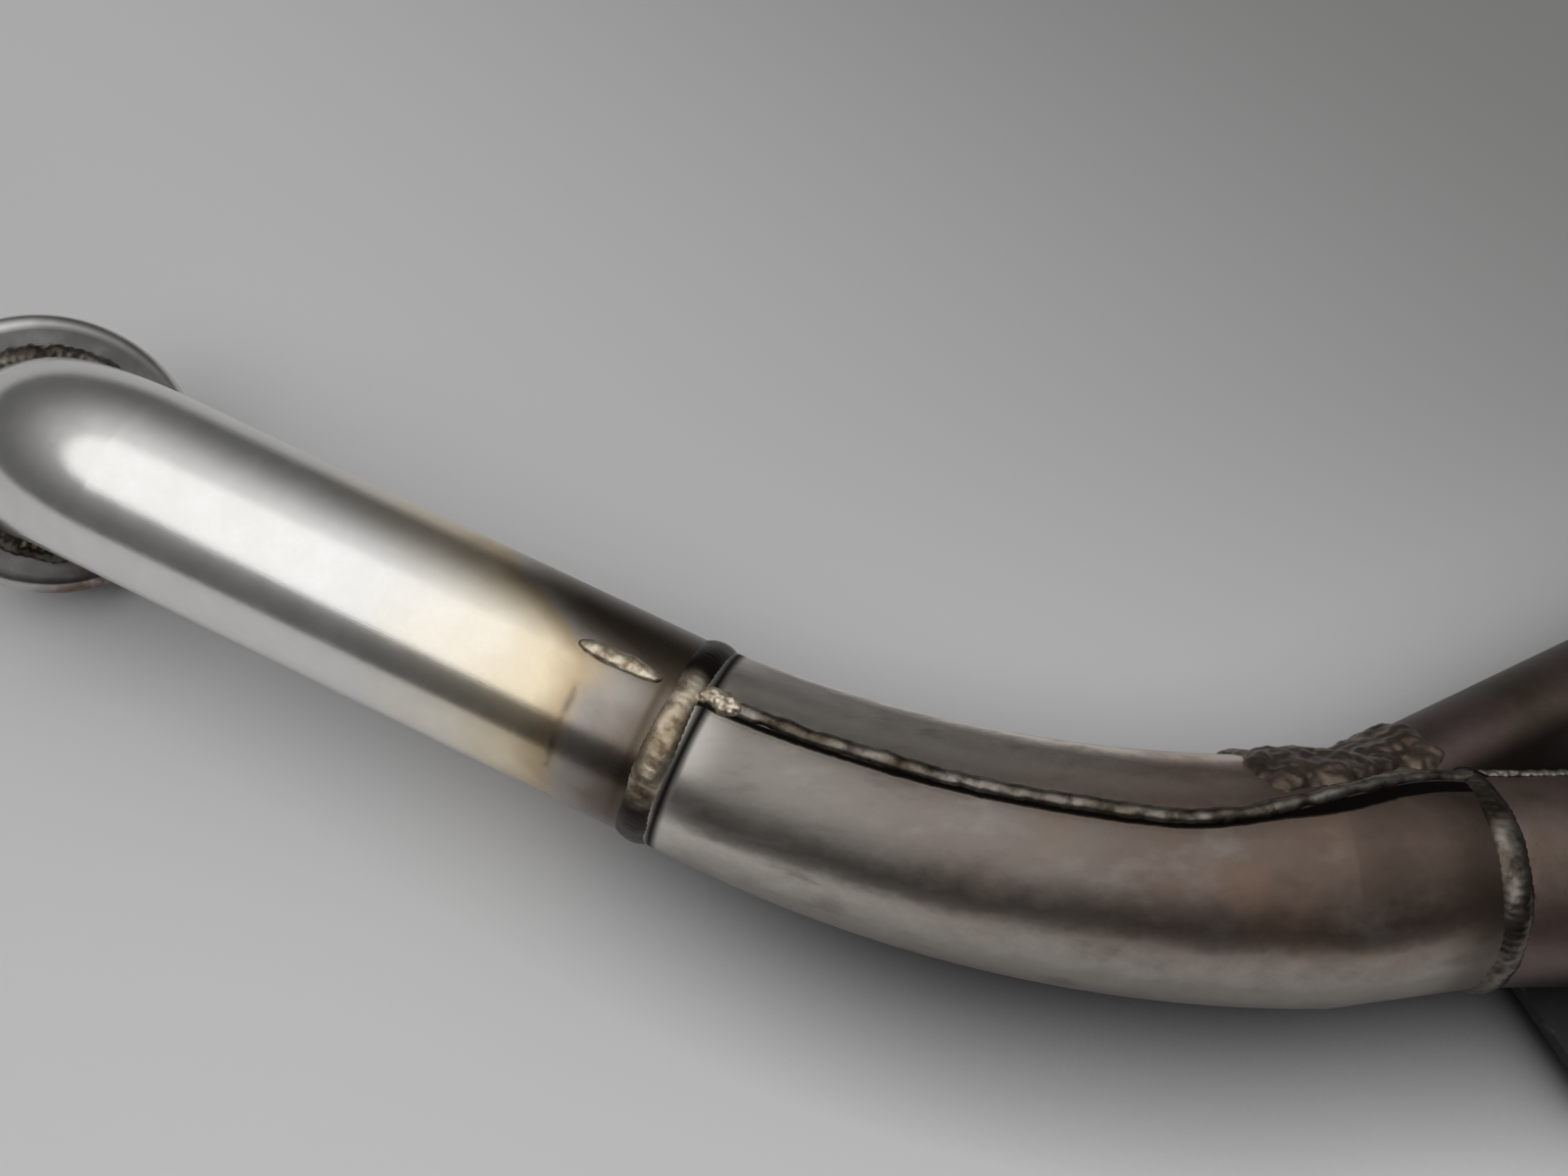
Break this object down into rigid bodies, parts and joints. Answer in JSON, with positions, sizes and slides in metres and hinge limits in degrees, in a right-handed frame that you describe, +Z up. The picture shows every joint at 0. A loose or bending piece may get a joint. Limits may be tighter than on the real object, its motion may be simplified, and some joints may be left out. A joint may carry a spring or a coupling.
{
  "type": "exhaust header pipe",
  "caption": "Welded motorbike exhaust header: a polished inlet pipe with a round port flange, a seamed collector, and a front and a rear branch outlet.",
  "frame": {"origin": "middle of the footprint, on the surface that the pipe lies on", "axes": "+X along the front branch towards its open end, +Y towards the rear branch, +Z up as it lies"},
  "size_m": [0.3908, 0.1622, 0.0606],
  "materials": {
    "polished_steel": "polished, with fine brushing and straw heat tint near the weld",
    "oxidised_steel": "satin, grey-brown heat oxide with stains",
    "burnt_steel": "satin, dark brown heat oxide",
    "weld_metal": "rough rippled weld",
    "dark_weld": "rough lumpy weld with brown scale",
    "black_tab": "black heat paint, worn at its edges"
  },
  "bodies": {
    "root": {"port_flange": "polished_steel", "port_flange_weld": "weld_metal", "inlet_pipe": "polished_steel", "inlet_plug_weld": "weld_metal", "inlet_ring_weld": "weld_metal", "collector_front_shell": "oxidised_steel", "collector_rear_shell": "oxidised_steel", "seam_start_weld": "weld_metal", "collector_top_seam_weld": "weld_metal", "collector_bottom_seam_weld": "weld_metal", "front_ring_weld": "weld_metal", "front_branch_pipe": "burnt_steel", "front_branch_seam_weld": "weld_metal", "rear_branch_pipe": "burnt_steel", "rear_branch_weld": "dark_weld", "mounting_tab": "black_tab", "mounting_tab_weld": "dark_weld"}
  },
  "joints": []
}
